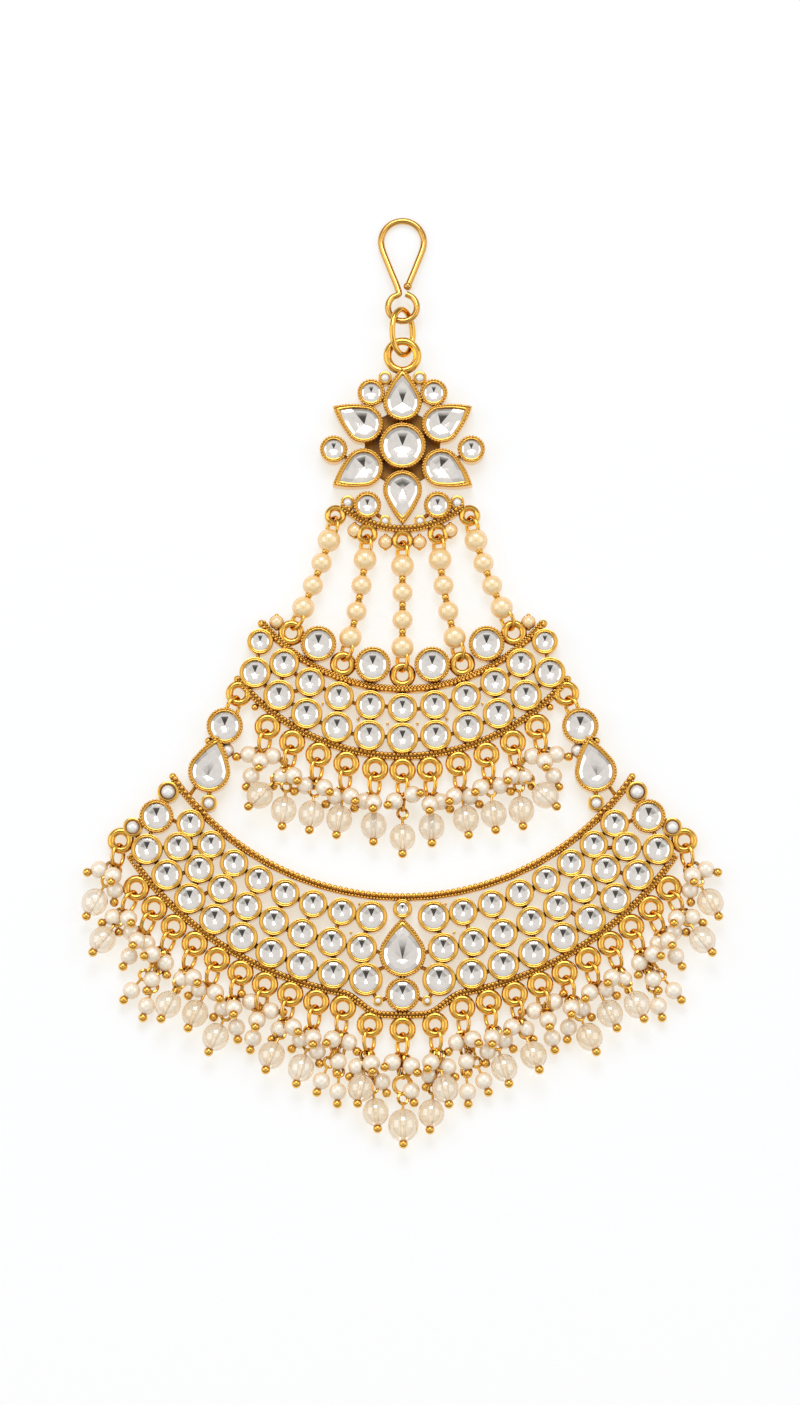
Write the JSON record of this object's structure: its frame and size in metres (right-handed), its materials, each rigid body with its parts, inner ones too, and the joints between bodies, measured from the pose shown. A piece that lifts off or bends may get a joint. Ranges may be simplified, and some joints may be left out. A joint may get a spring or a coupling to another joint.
{
  "type": "passa headpiece",
  "caption": "Fan-shaped side hair ornament: wire hook, flower rosette, strings of pearls and stone-set crescents with bead fringes.",
  "frame": {"origin": "middle of the underside of the whole piece's box, on the surface that the piece lies on", "axes": "+Z out of the face, +Y towards the hair hook, +X to the right as seen from the front with the hook up"},
  "size_m": [0.1018, 0.1516, 0.0061],
  "materials": {
    "gilt_brass": "cast brass, gold-plated and polished",
    "foiled_glass": "cut clear glass with silver foil behind it, so it is not see-through",
    "cream_pearl": "imitation pearl, warm cream, with a nacre-like coat",
    "ivory_pearl": "imitation pearl, ivory, with a nacre-like coat",
    "clear_bead": "clear pale champagne bead, softly faceted"
  },
  "bodies": {
    "root": {"hook": "gilt_brass", "jump_ring": "gilt_brass", "rosette_frame": "gilt_brass", "rosette_stone_centre": "foiled_glass", "petal_stone_1": "foiled_glass", "petal_stone_2": "foiled_glass", "petal_stone_3": "foiled_glass", "petal_stone_4": "foiled_glass", "petal_stone_5": "foiled_glass", "petal_stone_6": "foiled_glass", "pearl_strand_1": "cream_pearl", "pearl_strand_2": "cream_pearl", "pearl_strand_3": "cream_pearl", "pearl_strand_4": "cream_pearl", "pearl_strand_5": "cream_pearl", "upper_crescent_frame": "gilt_brass", "crown_stone_1": "foiled_glass", "crown_stone_2": "foiled_glass", "crown_stone_3": "foiled_glass", "crown_stone_4": "foiled_glass", "lower_crescent_frame": "gilt_brass", "pear_stone_centre": "foiled_glass", "arm_stone_1": "foiled_glass", "arm_stone_2": "foiled_glass", "upper_drop_1": "clear_bead", "upper_drop_2": "clear_bead", "upper_drop_3": "clear_bead", "upper_drop_4": "clear_bead", "upper_drop_5": "clear_bead", "upper_drop_6": "clear_bead", "upper_drop_7": "clear_bead", "upper_drop_8": "clear_bead", "upper_drop_9": "clear_bead", "upper_drop_10": "ivory_pearl", "upper_drop_11": "ivory_pearl", "lower_drop_1": "clear_bead", "lower_drop_2": "clear_bead", "lower_drop_3": "clear_bead", "lower_drop_4": "ivory_pearl", "lower_drop_5": "ivory_pearl", "lower_drop_6": "clear_bead", "lower_drop_7": "clear_bead", "lower_drop_8": "clear_bead", "lower_drop_9": "clear_bead", "lower_drop_10": "ivory_pearl", "lower_drop_11": "ivory_pearl", "lower_drop_12": "clear_bead", "lower_drop_13": "clear_bead", "lower_drop_14": "clear_bead", "lower_drop_15": "clear_bead", "lower_drop_16": "clear_bead", "lower_drop_17": "clear_bead", "lower_drop_18": "ivory_pearl", "lower_drop_19": "ivory_pearl", "lower_drop_20": "ivory_pearl", "lower_drop_21": "ivory_pearl", "lower_drop_22": "clear_bead", "lower_drop_23": "clear_bead", "lower_drop_24": "clear_bead", "lower_drop_25": "clear_bead"}
  },
  "joints": []
}
